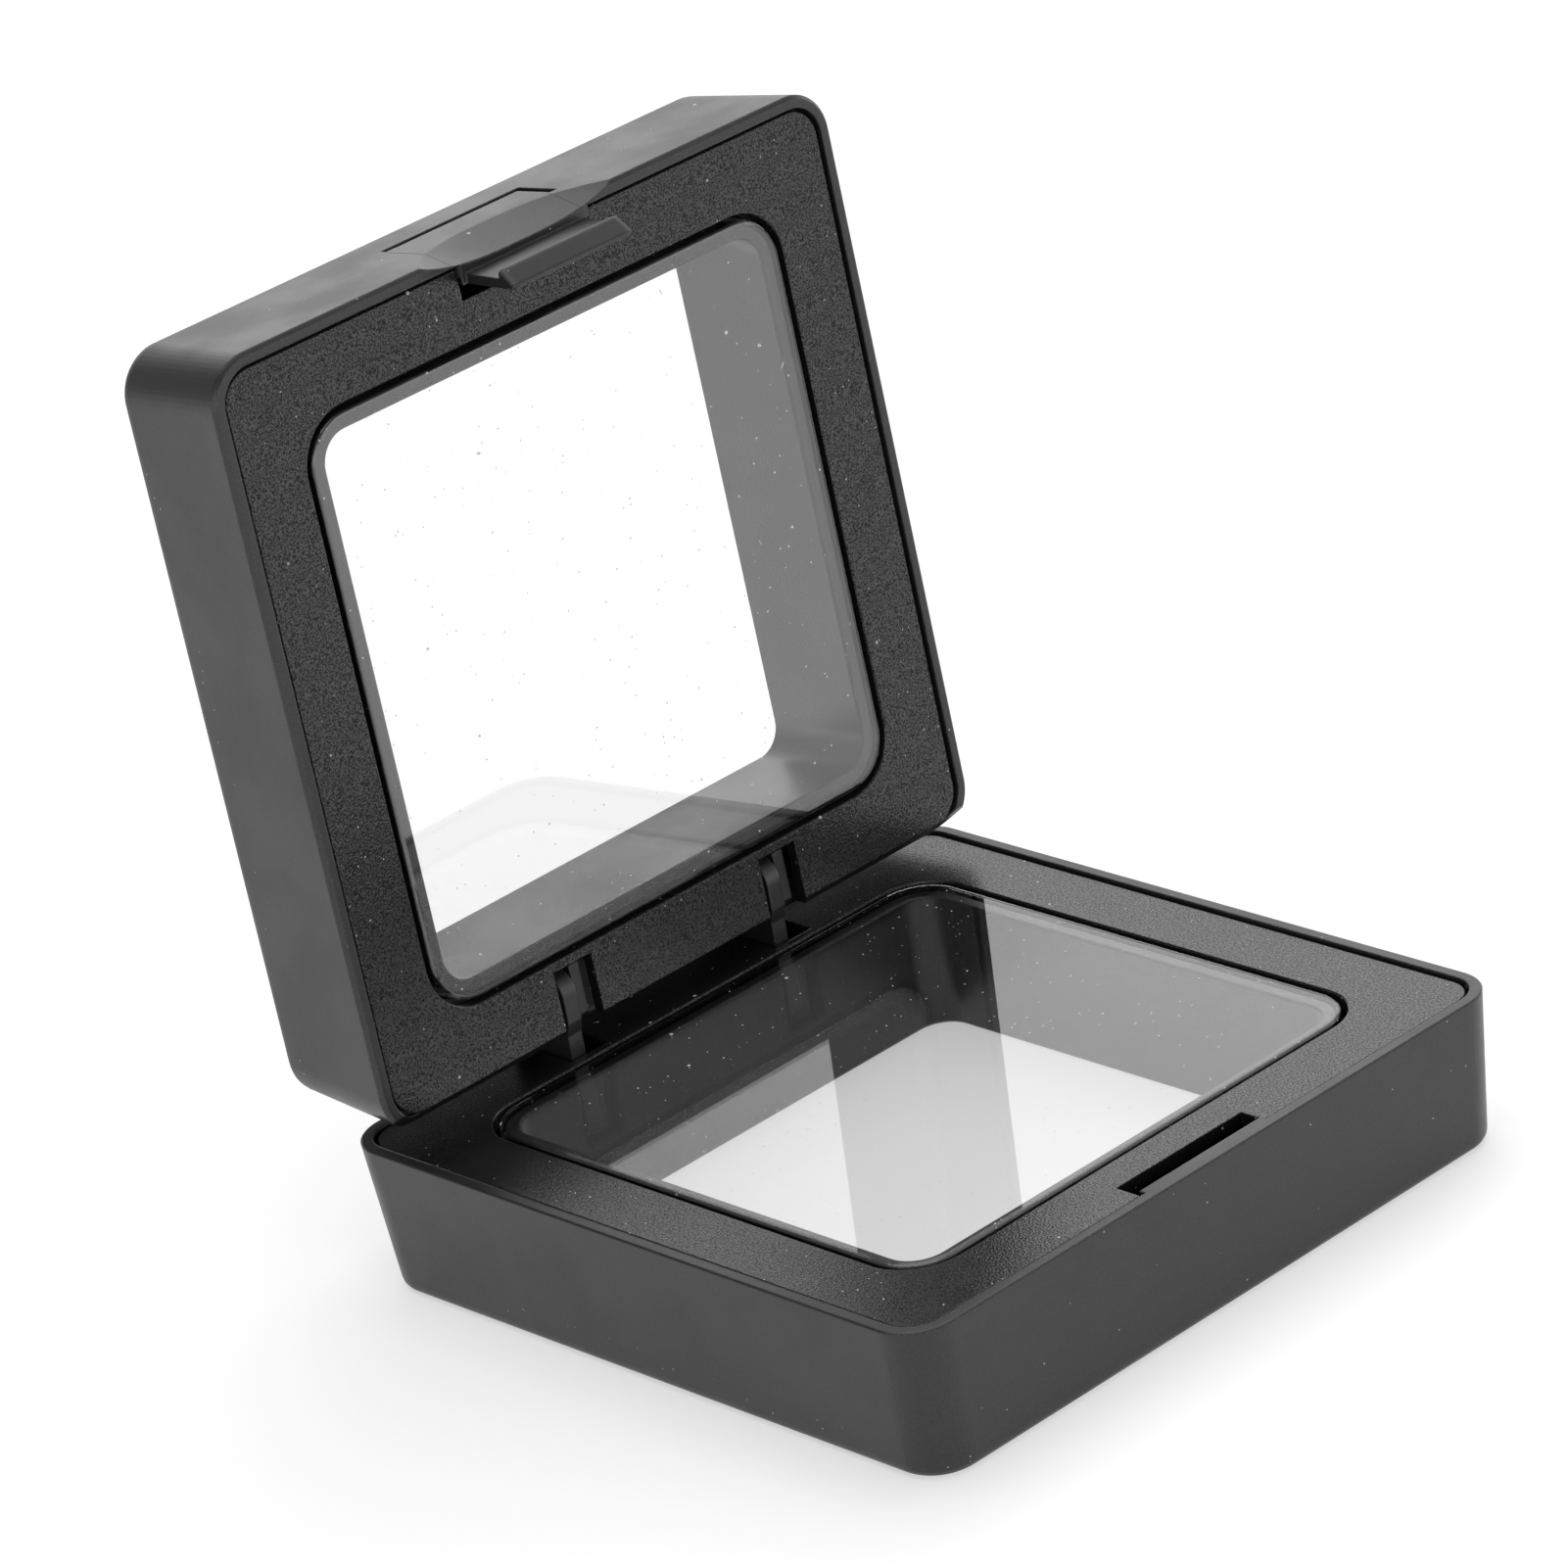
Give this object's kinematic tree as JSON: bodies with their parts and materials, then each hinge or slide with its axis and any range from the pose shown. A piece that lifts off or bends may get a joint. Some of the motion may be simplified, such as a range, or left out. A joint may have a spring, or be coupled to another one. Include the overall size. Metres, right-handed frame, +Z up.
{
  "type": "floating display box",
  "caption": "Square hinged display box that floats a small object between two framed clear membranes, with a push button latch in the lid.",
  "frame": {"origin": "middle of the open box's bounding box, on the surface that the base lies on", "axes": "+Z up; +X along the hinge, to the right as seen from the latch side; +Y from the latch side towards the hinge"},
  "size_m": [0.07, 0.0804, 0.0852],
  "materials": {
    "housing": "black moulded plastic with a soft satin sheen",
    "cover_plate": "black plastic with a fine matt texture",
    "ring": "plain black plastic, hidden",
    "latch": "black moulded plastic, as the housing",
    "film": "thin clear stretch film, glossy",
    "pin": "plain steel pin"
  },
  "bodies": {
    "base": {"base_shell": "housing", "base_cover_plate": "cover_plate", "base_film": "film", "base_film_ring": "ring", "hinge_pin_left": "pin", "hinge_pin_right": "pin"},
    "lid": {"lid_shell": "housing", "lid_cover_plate": "cover_plate", "lid_film": "film", "lid_film_ring": "ring"},
    "latch": {"push_latch": "latch"}
  },
  "joints": [
    {"name": "lid_hinge", "type": "hinge", "parent": "base", "child": "lid", "pos_m": [0, 0.02657, 0.0183], "axis": [1, 0, 0], "range_deg": [0, 93.25]},
    {"name": "latch_push", "type": "slide", "parent": "lid", "child": "latch", "axis": [0, -0.0567, -0.9984], "range_m": [0, 0.001], "stiffness_N_per_m": 2000}
  ]
}
